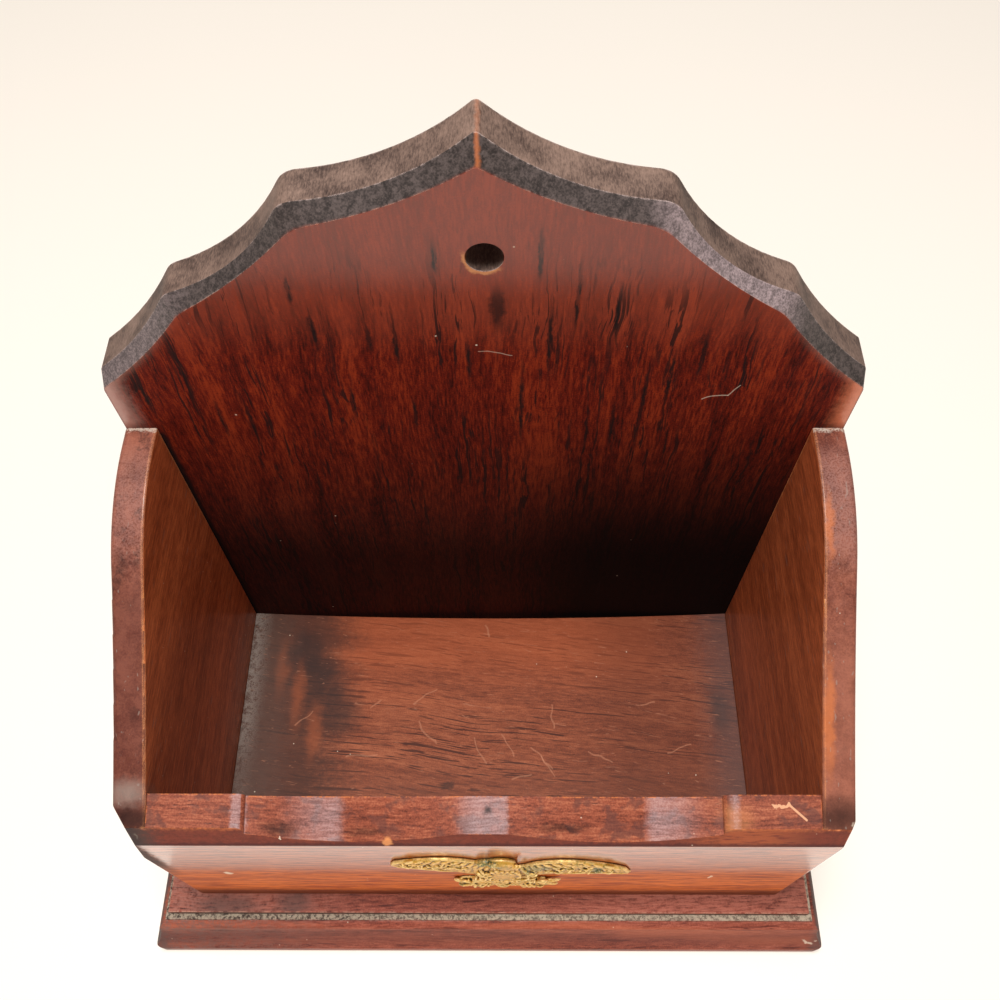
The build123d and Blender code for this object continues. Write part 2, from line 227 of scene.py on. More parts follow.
class Board(Sheet):
    # one board's grain, colour and height, to which its own marks are then added
    def __init__(self, name, grain, shift, tones, tilt=0.0, bands=1.0, fibres=1.0, dull=0.0):
        super().__init__(name)
        self.place = self.millimetres()
        self.x, self.y, self.z = self.parts(self.place)
        turned = self.node("Mapping", {}, {
            "Vector": self.place, "Location": shift, "Rotation": (0, 0, tilt)})
        sway = self.node("TexNoise", {}, {
            "Vector": turned, "Scale": 1 / wood["swaySize"], "Detail": 1.0}, "Color")
        sway = self.vector("MULTIPLY_ADD", sway, (wood["sway"],) * 3, turned)
        self.axis = "XYZ".index(grain)
        self.fibre = self.stretched(sway, wood["stretch"])
        self.short = self.stretched(sway, wood["fineStretch"])
        self.normalVector = self.node("NewGeometry", {}, {}, "Normal")
        self.normal = self.parts(self.normalVector)
        self.bands = self.noise(self.fibre, wood["bandSize"], 2, 0.5, 0.4)
        self.fibres = self.noise(self.short, wood["fibreSize"], 3, 0.6)
        self.mottle = self.noise(self.place, wood["mottleSize"], 4, 0.72)
        self.speckle = self.noise(self.place, wood["speckSize"], 2, 0.6)
        self.ragged = self.warped(wood["raggedSize"], wood["ragged"])
        tone = (0.5 + (self.bands - 0.5) * (wood["bandShare"] * bands) + (self.fibres - 0.5) * fibres
                + (self.mottle - 0.5) * wood["mottleShare"] + (self.speckle - 0.5) * wood["speckShare"])
        self.colour = self.node("ValToRGB", {"stops": list(zip((0.15, 0.5, 0.85), tones))}, {0: tone})
        # open pores, stained darker, that run with the grain
        cells = self.node("TexVoronoi", {}, {
            "Vector": self.short, "Scale": 1 / wood["poreSize"], "Randomness": 1.0}, "Distance")
        pores = self.step(cells, 0.30, 0.12) * self.step(self.mottle, 0.44, 0.62)
        self.height = self.fibres * 0.5 + self.speckle * 0.5 - pores * 0.6
        self.rough = wood["varnishRoughness"] + dull + self.speckle * wood["speckRoughness"]
        self.mark(tones[0], pores * 0.8)

    def stretched(self, place, amount):
        along = [1, 1, 1]
        along[self.axis] = 1 / amount
        return self.vector("MULTIPLY", place, tuple(along))

    def mark(self, colour, mask, roughness=None):
        # lays a colour, or the colour of that name in wood, over the board where the mask is 1
        self.colour = self.blend(mask, self.colour, wood.get(colour, colour))
        if roughness is not None:
            self.rough = self.rough + (wood.get(roughness, roughness) - self.rough) * mask

    def shaken(self, value, amount):
        # pushed about by the mottle, for ragged edges
        return value + (self.mottle - 0.5) * amount

    def swept(self, value, amount):
        # pushed about by the bands of the grain
        return value + (self.bands - 0.5) * amount

    def warped(self, size, amount, detail=3.0):
        # the place, pushed about so that the edges of marks are ragged
        push = self.node("TexNoise", {}, {
            "Vector": self.place, "Scale": 1 / size, "Detail": detail, "Roughness": 0.65}, "Color")
        push = self.vector("SUBTRACT", push, (0.5, 0.5, 0.5))
        return self.vector("MULTIPLY_ADD", push, (2 * amount,) * 3, self.place)

    def ovals(self, places, soft, where=None):
        # 1 inside ragged ovals: each place is its middle and how far it reaches each way
        where = where or self.ragged
        spots = [self.blob(where, middle, reach, soft) for middle, reach in places]
        return reduce(Signal.larger, spots)

    def spots(self, colour, amount, soft, places, where=None):
        self.mark(colour, self.ovals(places, soft, where) * amount)

    def scratch(self, place, start, end, width, through=None):
        # 1 along a line; it goes right through the board along the axis given
        if through is not None:
            keep = tuple(0 if i == through else 1 for i in range(3))
            place = self.vector("MULTIPLY", place, keep)
            start, end = (tuple(a * b for a, b in zip(point, keep)) for point in (start, end))
        run = Vector(end) - Vector(start)
        offset = self.vector("SUBTRACT", place, start)
        share = self.vector("DOT_PRODUCT", offset, tuple(run / run.length_squared), output="Value")
        share = self.node("Clamp", {}, {0: share})
        foot = self.scaled(tuple(run), share)
        gap = self.vector("DISTANCE", offset, foot, output="Value")
        return self.step(gap, width, width * 0.45)

    def specks(self, cell, radius, share, amount=0.6):
        # tiny pale dots, in this share of the cells
        dots = self.node("TexVoronoi", {}, {"Vector": self.place, "Scale": 1 / cell}, "Distance")
        lot = Signal(self, dots.socket.node.outputs["Color"])
        chosen = self.step(self.parts(lot)[0], 1 - share, 1.001 - share)
        dots = self.step(dots, radius / cell, radius / cell * 0.5) * chosen
        self.mark("cream", dots * amount, "chalky")

    def edges(self, radius):
        # 1 on the arrises of the board, 0 on its faces
        same = self.vector("DOT_PRODUCT", self.rounded(radius, 6), self.normalVector, output="Value")
        return self.step(same, 0.985, 0.86)

    def between(self, value, low, high, soft):
        # 1 from low to high, fading over soft at both ends
        return self.step(value, low - soft, low + soft) * self.step(value, high + soft, high - soft)

    def finish(self, node):
        eased = self.rounded(wood["arris"], 4)
        varnish = self.step(self.rough, wood["varnishFrom"], wood["varnishTo"])
        cover(node, self.shade({
            "Base Color": self.colour, "Roughness": self.rough, "Specular IOR Level": wood["bareShine"],
            "Coat Weight": varnish, "Coat Roughness": wood["varnishBlur"], "Coat IOR": wood["varnishIor"],
            "Normal": self.bump(self.height, wood["bumpStrength"], wood["bumpHeight"], eased)}))
        print(node, "finished:", len(self.tree.nodes), "shader nodes")


# Back board: red-brown, with dark stripes in the grain, and a painted shade darker towards the well's floor
backBoard = {
    "tones": [(0.022, 0.0014, 0.0006, 1), (0.115, 0.0075, 0.0022, 1), (0.25, 0.027, 0.006, 1)],
    "paintedUpperLight": (0.27, 0.050, 0.024, 1),
    # dark stripes: middle of each across and up, and half its length
    "stripes": [
        (-9.2, 211.4, 4.4), (-41.1, 201.2, 4), (-37.9, 187.6, 5.3), (-25.7, 185.1, 3.7),
        (-19.7, 183.2, 7.2), (-3.1, 177.4, 7), (-32.5, 160.7, 6), (-67.1, 153.4, 7.3),
        (-59.7, 152.4, 8.3), (-83.7, 161.8, 5), (-17.4, 155.5, 6), (12.8, 211.8, 6.8),
        (21.3, 199.1, 11), (15.7, 184.9, 11.5), (30.3, 194, 8), (9.5, 158.2, 14),
        (39.7, 158.7, 17), (45.1, 170.9, 9.5), (51.6, 179.2, 7.7), (32.9, 150.9, 9)],
    "stripeHalfWidth": 0.55,
    # painted shade: the board darkens down into the well between these two heights, and more on the right
    "paintedShadeTop": 172.0,
    "paintedShadeFoot": 70.0,
    "paintedShadeDark": (0.002, 0.0015, 0.0015, 1),
    "paintedShadeLight": (0.038, 0.016, 0.012, 1),
    "paintedShadeRight": (0.0015, 0.0008, 0.0006, 1),
    "dull": 0.42,
    # painted sheen beside the bevel and on the ears
    "paintedSheen": (0.34, 0.15, 0.11, 1),
    "paintedSheenReach": 7,  # mm from the edge
    "earSheens": [(-85, -93, (0.50, 0.24, 0.19, 1)), (86, 93, (0.74, 0.20, 0.085, 1))],
    # the smudge below the hanging hole, from its middle
    "smudge": (2.6, -16),
    "smudgeReach": (1.7, 9, 6.5),
    "holeRim": (0.60, 0.26, 0.11, 1),
    "greyDark": (0.040, 0.024, 0.020, 1),
    "greyLight": (0.26, 0.165, 0.125, 1),
    "charDark": (0.026, 0.020, 0.018, 1),
    "charLight": (0.098, 0.073, 0.066, 1),
    "charRoughness": 0.52,
    "paleLine": (0.62, 0.47, 0.42, 1),
    # a hair and a scratch: from, to, width and strength
    "hairs": [((53.8, 161.7), (60.5, 163.2), 0.26, 1), ((60.5, 163.2), (62.6, 167.6), 0.22, 1),
              ((-0.4, 180.6), (6.6, 179.4), 0.20, 0.7)],
}


def dressBack():
    v = backBoard
    b = Board("backBoardWood", "Z", (31, 7, 5), v["tones"], bands=0.7, fibres=1.25)
    out = b.normal[1] * -1
    # the rasped edge of the bevel isn't a clean line
    eased = b.parts(b.rounded(0.9, 6))
    onFace = b.step(b.shaken(eased[1] * -1, 0.16), 0.84, 0.97)
    # painted light: the upper board lighter, where it catches more light
    b.mark(v["paintedUpperLight"], b.step(b.swept(b.z, 20), 176, 200) * 0.5)
    # stripes where the stain has pooled in the grain, each a few broken strokes
    broken = b.step(b.fibres, 0.40, 0.56)
    stripes = [((x, backFace, z), (v["stripeHalfWidth"], 9, half)) for x, z, half in v["stripes"]]
    b.mark("soot", b.ovals(stripes, 0.5, b.warped(2.5, 0.7)) * (0.45 + broken * 0.5))
    drawn = b.vector("MULTIPLY", b.warped(14.0, 1.4, 1.0), (1, 1, 1 / 48))
    streak = b.noise(drawn, 1.1, 3, 0.65)
    clump = b.noise(b.vector("MULTIPLY", b.place, (1, 1, 0.24)), 12, 2, 0.5)
    clump = b.step(clump, 0.38, 0.58)
    b.mark("soot", b.step(streak, 0.54, 0.61) * clump * b.step(b.z, 222, 190) * 0.85)
    b.mark(v["tones"][2], b.step(streak, 0.40, 0.32) * 0.35)
    # painted shade: darker and darker down inside the well, and along its left corner
    inWellShade = b.step(b.z, v["paintedShadeTop"], v["paintedShadeFoot"]) * onFace
    dark = b.blend(b.speckle, v["paintedShadeDark"], v["paintedShadeLight"])
    b.mark(dark, inWellShade * b.swept(0.70, 0.5))
    b.mark(v["paintedShadeRight"], inWellShade * b.step(b.shaken(b.x, 14), -2, 34) * 0.88)
    # painted shade along the left corner, where the board meets the side
    corner = b.step(b.x, leftInner + 2.2, leftInner + 0.6) * b.step(b.z, 149, 146)
    b.mark("soot", corner * onFace * 0.9)
    b.rough = b.rough + b.step(b.z, 214, 180) * onFace * v["dull"]
    # painted sheen on the two ears and on the face beside the bevel, with the varnish left glossy on the ears
    broad = b.parts(b.rounded(v["paintedSheenReach"], 8))
    sheenNearEdge = b.step(broad[1] * -1, 0.995, 0.90) * onFace * b.step(abs(b.x), 62, 84)
    b.mark(v["paintedSheen"], sheenNearEdge * b.step(b.z, 142, 150) * (0.35 + b.speckle * 0.4))
    for start, end, colour in v["earSheens"]:
        earSheen = onFace * b.step(b.shaken(b.x, 4), start, end) * b.step(b.z, 148, 153)
        b.mark(colour, earSheen * 0.75, 0.30)
    hole = frame["record"]["mounts"][0]["pos_m"]
    holeX, holeZ = hole[0] / mm, hole[2] / mm
    smudgeX, smudgeZ = v["smudge"]
    b.spots("soot", 0.8, 0.6, [((holeX + smudgeX, backFace, holeZ + smudgeZ), v["smudgeReach"])])
    flat = b.vector("MULTIPLY", b.ragged, (1, 0, 1))
    fromHole = b.vector("DISTANCE", flat, (holeX, 0, holeZ), output="Value")
    slant = -0.6 * holeX - holeZ
    lowLeft = b.step(b.x * -0.6 - b.z, slant + 0.3, slant + 2.2)
    rim = b.between(fromHole, 3.6, 4.9, 0.5)
    b.mark(v["holeRim"], rim * lowLeft * 0.8, "chalky")
    # end grain on the scallops
    up = b.normal[2]
    upward = b.step(up, 0.60, 0.70)
    ends = b.noise(b.vector("MULTIPLY", b.place, (1, 0.3, 1)), 0.4, 3, 0.7)
    grey = b.step(ends * 0.5 + b.noise(b.place, 9, 3, 0.6) * 0.5, 0.30, 0.72)
    greyTop = b.blend(grey, v["greyDark"], v["greyLight"])
    b.mark(greyTop, b.step(up, 0.30, 0.36) * b.step(out, 0.24, 0.18), "raw")
    # the rasped bevel, charred dark and lighter in patches, with a painted sheen on its right half and left
    # end
    bevel = b.step(out, 0.24, 0.30) * (1 - onFace) * b.step(up, 0.10, 0.2)
    burnt = b.step(b.speckle * 0.4 + b.mottle * 0.6, 0.36, 0.66)
    b.mark(b.blend(burnt, v["charDark"], v["charLight"]), bevel, v["charRoughness"])
    paintedSheen = 0.22 + b.step(b.speckle * 0.5 + b.mottle * 0.5, 0.38, 0.66) * 0.45
    b.mark("haze", bevel * paintedSheen * (b.between(b.x, 37, 70, 5) + b.step(b.x, -60, -78) * 0.45))
    # a pale worn line where the top and the bevel meet, orange at the peak
    wear = b.edges(0.7)
    ridge = wear * b.step(up, 0.25, 0.4)
    b.mark(v["paleLine"], ridge * b.step(b.mottle, 0.40, 0.60) * 0.8, "worn")
    peak = bevel * 0.5 + upward * b.step(b.z, 225, 230) * 0.2
    b.mark("rubbed", b.between(b.shaken(b.x, 1.2), -0.1, 0.7, 0.4) * peak, "worn")
    faceWear = wear * onFace * b.step(b.mottle, 0.45, 0.6) * b.step(b.z, 150, 165)
    b.mark("rubbed", faceWear * 0.6, "worn")
    hair = b.warped(9.0, 2.2, 1.0)
    lines = reduce(Signal.__add__, [
        b.scratch(hair, (x, backFace, z), (endX, backFace, endZ), width, 1) * strength
        for (x, z), (endX, endZ), width, strength in v["hairs"]])
    b.mark("cream", lines * onFace * 0.4, "chalky")
    b.specks(9.0, 0.35, 0.35)
    b.finish("back_board")


# Side boards: orange-brown inside, with a duller, handled rim
sideBoards = {
    "tones": [(0.080, 0.013, 0.004, 1), (0.36, 0.072, 0.020, 1), (0.64, 0.18, 0.055, 1)],
    "wellTones": [(0.36, 0.075, 0.024, 1), (0.80, 0.20, 0.066, 1)],
    "outerTone": (0.16, 0.035, 0.013, 1),
    "rimDark": (0.085, 0.022, 0.015, 1),
    "rimLight": (0.25, 0.085, 0.055, 1),
    "rimRoughness": 0.54,
    "crown": (0.30, 0.15, 0.125, 1),
    "arris": (0.90, 0.36, 0.13, 1),
    "left_side": {
        "faces": (leftInner, leftOuter),
        "shift": (3, 41, 12),
        "soot": 0.5,
        "crown": 0.3,
        # tones of the rim below and over the wear: colour, from, to, how ragged, how much
        "tonesBelow": [((0.085, 0.022, 0.016, 1), 16, 4, 8, 0.5)],
        "tonesOver": [],
        # colour, how much, how soft, then the middle of each oval and how far it reaches
        "spots": [
            ("soot", 0.75, 0.6, [((leftOuter + 4, -41.5, 104), (7, 3.4, 8)),
                                 ((leftOuter + 2.5, 12, 149), (2.2, 4, 9)),
                                 ((leftOuter + 5, 4, 146), (3, 3, 9))]),
            ("dust", 0.5, 0.6, [((leftOuter + 4, -35.5, 105), (5, 3.0, 9))])],
        "scratches": [((leftOuter, -31.6, 110), (leftInner, -31.0, 110), 0.5)],
    },
    "right_side": {
        "faces": (rightInner, rightOuter),
        "shift": (57, 13, 77),
        "soot": 0.3,
        "crown": 0.45,
        "tonesBelow": [],
        "tonesOver": [((0.34, 0.12, 0.075, 1), 6, -14, 12, 0.4)],
        "spots": [
            ("soot", 0.7, 0.6, [((rightOuter - 4, -40.5, 104), (7, 4.4, 8))]),
            ("cream", 0.9, 0.4, [((rightOuter - 0.8, -42, 104), (0.8, 1.3, 2)),
                                 ((rightOuter - 0.8, -6, 136), (0.6, 1.4, 3))]),
            ("rubbed", 0.5, 0.6, [((rightInner + 1.4, 20, 149), (1.0, 9, 9)),
                                  ((rightInner + 1.6, -20, 122), (1.4, 12, 20))])],
        "scratches": [],
    },
}


def dressSide(node):
    v = sideBoards
    own = v[node]
    b = Board(node + "Wood", "Y", own["shift"], v["tones"], bands=0.7, dull=0.12)
    wellX, outerX = own["faces"]
    rim = b.step(b.normal[2], 0.25, 0.5)
    # fresher inside the well, a little browner outside
    inside = b.step(abs(b.x - wellX), 0.5, 0.2) * (1 - rim)
    fresh = b.blend(b.step(b.bands * 0.3 + b.fibres * 0.7, 0.30, 0.68), *v["wellTones"])
    b.mark(fresh, inside * 0.62)
    b.mark(v["outerTone"], b.step(abs(b.x - outerX), 0.5, 0.2) * (1 - rim) * 0.25)
    blotch = b.noise(b.place, 8, 4, 0.65)
    worn = b.step(blotch * 0.6 + b.mottle * 0.2 + b.speckle * 0.2, 0.36, 0.62)
    b.mark(b.blend(worn, v["rimDark"], v["rimLight"]), rim * 0.9, v["rimRoughness"])
    b.mark("soot", rim * b.step(b.noise(b.ragged, 5, 3, 0.7), 0.54, 0.68) * own["soot"])
    # painted sheen towards the back of the rim
    high = b.step(b.shaken(b.y, 10), 8, 20) * b.step(b.y, 46, 36)
    b.mark(v["crown"], rim * high * b.step(b.speckle, 0.3, 0.6) * own["crown"])

    def layTones(tones):
        for colour, start, end, ragged, amount in tones:
            b.mark(colour, rim * b.step(b.shaken(b.y, ragged), start, end) * amount)

    layTones(own["tonesBelow"])
    # rubbed nearly bare along the inner arris of the rim, thin and broken elsewhere
    wear = b.edges(1.3)
    inner = b.step(abs(b.x - wellX), 1.6, 0.8) * b.step(b.z, 95, 104)
    b.mark(v["arris"], wear * inner * (0.6 + b.step(b.mottle, 0.40, 0.55) * 0.4), "worn")
    b.mark("rubbed", wear * (1 - inner) * b.step(b.mottle, 0.48, 0.62) * 0.7, "worn")
    layTones(own["tonesOver"])
    for colour, amount, soft, places in own["spots"]:
        b.spots(colour, amount, soft, places)
    for start, end, width in own["scratches"]:
        b.mark("cream", b.scratch(b.ragged, start, end, width) * rim * 0.8)
    b.rough = b.rough + b.step(b.y, -26, -35) * rim * 0.25
    # the whitish glue where the rim meets the back board
    seam = b.step(b.shaken(b.y, 4.5), backFace - 1.5, backFace - 0.5)
    b.mark("glue", seam * rim * b.step(b.speckle, 0.32, 0.56) * 0.85)
    # dust that has settled at the foot, and pale scuffs
    grime = b.step(b.z, 52, 30) * b.step(b.mottle, 0.35, 0.6)
    b.mark("grime", grime * 0.35, "chalky")
    b.mark("dust", b.step(b.noise(b.short, 0.9, 1, 0.4), 0.70, 0.76) * 0.35)
    b.specks(6.0, 0.28, 0.4)
    b.finish(node)


# Front board: scuffed and speckled along the top, dark on the bevel, clean on the face
frontBoard = {
    "tones": [(0.085, 0.020, 0.012, 1), (0.27, 0.066, 0.034, 1), (0.46, 0.15, 0.075, 1)],
    "faceTones": [(0.20, 0.035, 0.008, 1), (0.56, 0.13, 0.028, 1)],
    "faceRoughness": 0.30,
    "footTones": [(0.30, 0.042, 0.005, 1), (0.68, 0.15, 0.017, 1)],
    "paintedFootShade": (0.07, 0.012, 0.006, 1),
    "blotch": (0.10, 0.035, 0.028, 1),
    "blotchRoughness": 0.45,
    # painted highlights on the waved top: middle, half width, fade to the left and right
    "highlightPatches": [(-62.0, 1.7, 0.7, 0.7), (-41.0, 4.5, 9.0, 2.0), (0.5, 5.5, 3.5, 0.8),
              (46.5, 4.8, 1.6, 7.0), (63.4, 0.8, 0.8, 0.8)],
    "topSoot": [((0.9, -38.9, frontTop), (1.0, 0.9, 9)), ((-52, -43, frontTop), (4.5, 1.6, 9)),
                ((-30, -43.4, frontTop), (6.0, 1.0, 9)), ((20, -42.6, frontTop), (6.5, 1.0, 9))],
    "lipDark": (0.035, 0.007, 0.005, 1),
    "lipLight": (0.24, 0.036, 0.017, 1),
    "lipRoughness": 0.60,
    "lipEnds": (0.42, 0.11, 0.035, 1),
    "lipRight": (0.52, 0.125, 0.035, 1),
    "lipLeft": (0.05, 0.03, 0.025, 1),
    "lipFoot": (0.045, 0.007, 0.008, 1),
    "chipAndHighlight": (0.66, 0.25, 0.085, 1),
    "shoulderHighlight": [((61.5, frontFace + 3, frontTop - 1.6), (5, 5, 1.6))],
    "chips": [((-24.6, frontFace, bevelFoot + 1.8), (1.4, 3, 1.1))],
    "nick": (0.70, 0.36, 0.20, 1),
    "nickRagged": ((73.2, -38.4, frontTop), (77.0, -37.9, frontTop), 0.50),
    "nickStraight": ((76.8, -37.9, frontTop), (81.0, -41.4, frontTop), 0.34),
    "flecks": [((-52, frontFace + 1, bevelFoot + 3), (0.3, 2, 0.5)),
               ((-74.9, frontFace, 59.7), (1.0, 2, 1.6)), ((65.5, frontFace, 55.1), (0.45, 2, 2.2)),
               ((-88, frontFace + 1, bevelFoot + 4), (0.3, 2, 1.0))],
    "handled": (0.045, 0.035, 0.033, 1),
    "char": (0.040, 0.032, 0.031, 1),
    "charRoughness": 0.68,
}


def dressFront():
    v = frontBoard
    b = Board("frontBoardWood", "X", (11, 23, 37), v["tones"], bands=0.5)
    up = b.normal[2]
    out = b.normal[1] * -1
    top = b.step(up, 0.74, 0.82)
    face = b.step(out, 0.92, 0.97)
    grain = b.noise(b.fibre, 1.0, 3, 0.6) + (b.fibres - 0.5) * 0.5
    b.mark(b.blend(b.step(grain, 0.40, 0.60), *v["faceTones"]), face * 0.85, v["faceRoughness"])
    # the foot of the face is a clearer orange, with less of a shine
    foot = b.step(b.swept(b.z, 12), 88, 50) * face
    b.mark(b.blend(b.step(grain, 0.36, 0.60), *v["footTones"]), foot * 0.9)
    b.rough = b.rough + b.step(b.z, 78, 56) * face * 0.24
    lines = b.noise(b.stretched(b.fibre, 2.0), 0.9, 2, 0.5)
    b.mark(v["faceTones"][0], face * b.step(lines, 0.60, 0.66) * 0.6)
    # dark blotches on the top, then the painted highlights
    blotch = b.step(b.noise(b.ragged, 5.5, 2, 0.6), 0.50, 0.64)
    b.mark(v["blotch"], top * blotch * 0.65, v["blotchRoughness"])
    along = b.shaken(b.x, 3)
    highlightMask = reduce(Signal.__add__, [
        b.step(along, middle - half - fadeLeft, middle - half + fadeLeft)
        * b.step(along, middle + half + fadeRight, middle + half - fadeRight)
        for middle, half, fadeLeft, fadeRight in v["highlightPatches"]])
    highlightTexture = 0.23 + b.step(b.speckle * 0.4 + b.fibres * 0.6, 0.36, 0.66) * 0.34
    b.mark("haze", highlightMask * top * highlightTexture)
    b.spots("soot", 0.8, 0.7, v["topSoot"])
    # bevel: purple-brown, more orange at its ends, with chips down to pale wood and a painted highlight by
    # the right shoulder
    lip = b.step(up, 0.2, 0.3) * (1 - b.step(up, 0.70, 0.78)) * b.step(out, 0.3, 0.5)
    b.mark(b.blend(b.mottle, v["lipDark"], v["lipLight"]), lip * 0.92, v["lipRoughness"])
    upper = b.step(b.shaken(b.z, 4), frontTop - 4.2, frontTop - 2.4)
    b.mark(v["lipEnds"], lip * upper * b.step(abs(b.x), 52, 60) * 0.7)
    b.mark(v["lipRight"], lip * b.step(b.shaken(b.x, 14), 48, 62) * b.step(b.fibres, 0.30, 0.52)
           * b.step(b.shaken(b.x, 10), 86, 70) * 0.42)
    # a painted highlight on the bevel by the right shoulder
    b.spots(v["chipAndHighlight"], 0.45, 0.8, v["shoulderHighlight"])
    b.mark(v["lipFoot"], lip * b.step(b.shaken(b.z, 1.5), bevelFoot + 1.9, bevelFoot + 0.6) * 0.7)
    wear = b.edges(0.7) * b.step(abs(b.normal[0]), 0.12, 0.05)
    b.mark("rubbed", wear * b.step(b.mottle, 0.46, 0.60), "worn")
    b.spots(v["chipAndHighlight"], 0.9, 0.4, v["chips"])
    nicks = b.scratch(b.ragged, *v["nickRagged"], 2) + b.scratch(b.place, *v["nickStraight"], 2)
    b.mark(v["nick"], b.step(nicks, 0, 0.7) * top * 0.85, "chalky")
    b.spots("cream", 0.8, 0.3, v["flecks"])
    b.specks(5.0, 0.26, 0.45)
    # handled dark on both rounded ends, and darkest on the left one
    ends = b.step(b.shaken(abs(b.x), 3), 88.5, 91.5)
    ends = ends * b.step(abs(b.normal[0]), 0.05, 0.5) * b.step(b.shaken(b.z, 16), 72, 92)
    b.mark(v["handled"], ends, "worn")
    b.mark(v["lipLeft"], lip * b.step(b.shaken(b.x, 6), -80, -88) * 0.85)
    b.mark(v["char"], b.step(b.shaken(b.x, 4), -86.5, -90.5) * b.step(b.z, 48, 78)
           * b.step(out, 0, 0.3) * 0.9, v["charRoughness"])
    # painted shade along the foot of the face, just above the base
    b.mark(v["paintedFootShade"], face * b.step(b.shaken(b.z, 4), 36, 27) * 0.85)
    b.finish("front_board")


# Floor: slanting grain, a dark stain and dust along the left wall
floorBoard = {
    "tones": [(0.095, 0.022, 0.011, 1), (0.225, 0.057, 0.025, 1), (0.35, 0.105, 0.047, 1)],
    "tilt": 7.0,  # degrees that the grain slants
    "grainLine": (0.040, 0.010, 0.007, 1),
    "backTone": (0.36, 0.075, 0.022, 1),
    "frontTone": (0.16, 0.062, 0.040, 1),
    "leftTone": (0.045, 0.019, 0.013, 1),
    "rightTone": (0.085, 0.020, 0.009, 1),
    "stain": (0.026, 0.015, 0.013, 1),
    # middle of each oval of the stain, across and back, and how far it reaches
    "stainPlaces": [(-66, 34, 4.5, 6), (-58.5, 23, 5, 8.5), (-51.5, 11, 6, 6.5), (-62, 30, 3.5, 9),
                    (-54, 16, 4, 9), (79, 12, 3.4, 7.5), (64, -24, 8, 0.8), (-14.5, -14, 2.4, 1.0)],
    "halo": (0.36, 0.085, 0.028, 1),
    "haloPlaces": [(-73, 27, 1.8, 8), (-66.5, 17, 1.8, 9), (-60, 4, 2.0, 8)],
    "leftEnd": (0.10, 0.055, 0.040, 1),
    "rightEnd": (0.085, 0.050, 0.045, 1),
    "endRoughness": 0.55,
    "scuff": (0.42, 0.17, 0.095, 1),
    "scratch": (0.50, 0.21, 0.115, 1),
    "scratchWidth": 0.36,
    # start of each scratch and how far it runs across and back
    "scratches": [
        (-27, 15, 9, 4.5), (-2.5, 44, 2.6, -5), (21, 13, 0.6, -7), (52, 13, 5, 1.5), (-6, 2, 5, -9),
        (4, 3, 4, -7), (14, -1, 7, -7), (18, -5, 4, -6), (-48, -4, 11, 0.5), (-24, 7, 6, -6), (-40, 12, 3, 3),
        (34, -3, 7, -3), (8, -12, 5, 2), (60, -2, 8, 2), (-66, 6, 5, 6), (-34, -22, 6, -4)],
}


def dressFloor():
    v = floorBoard
    b = Board("floorBoardWood", "X", (71, 5, 19), v["tones"], tilt=math.radians(v["tilt"]), bands=0.6,
              dull=0.26)
    lines = b.step(b.noise(b.stretched(b.fibre, 2.2), 0.7, 2, 0.5, 0.2), 0.565, 0.615)
    b.mark(v["grainLine"], lines * b.step(b.bands, 0.40, 0.54) * 0.85)
    # redder at the back, duller and browner towards the front and the ends
    b.mark(v["backTone"], b.step(b.swept(b.y, 30), 8, 40) * b.step(abs(b.x), 72, 50) * 0.5)
    b.mark(v["frontTone"], b.step(b.shaken(b.y, 20), 4, -34) * 0.5)
    b.mark(v["leftTone"], b.step(b.swept(b.shaken(b.x, 16), 20), -40, -62) * 0.78)
    b.mark(v["rightTone"], b.step(b.swept(b.shaken(b.x, 16), 24), 22, 52) * 0.42)
    blot = b.warped(7.0, 3.5, 5.0)
    for colour, amount, soft, places in ((v["stain"], 0.70, 0.75, v["stainPlaces"]),
                                         (v["halo"], 0.40, 0.95, v["haloPlaces"])):
        b.spots(colour, amount, soft, [((x, y, floorTop), (across, back, 9))
                                       for x, y, across, back in places], blot)
    b.mark(v["leftEnd"], b.step(b.shaken(b.x, 12), -64, -80) * 0.55, v["endRoughness"])
    dusty = b.step(b.shaken(b.x, 10), -77, -83.5) * (0.35 + b.step(b.y, -12, 12) * 0.65)
    b.mark("dust", dusty * b.step(b.speckle * 0.3 + b.mottle * 0.7, 0.36, 0.60) * 0.7)
    b.mark(v["rightEnd"], b.step(b.shaken(b.x, 10), 68, 84) * 0.6, v["endRoughness"])
    b.mark(v["scuff"], b.step(b.noise(b.short, 1.0, 1, 0.4, 2.5), 0.68, 0.76) * 0.4)
    curl = b.warped(8.0, 2.4, 1.0)
    arcs = reduce(Signal.__add__, [
        b.scratch(curl, (x, y, floorTop), (x + across, y + back, floorTop), v["scratchWidth"], 2)
        for x, y, across, back in v["scratches"]])
    b.mark(v["scratch"], arcs * (0.2 + b.speckle) * 0.5, "chalky")
    b.specks(5.5, 0.28, 0.5)
    b.finish("floor_board")


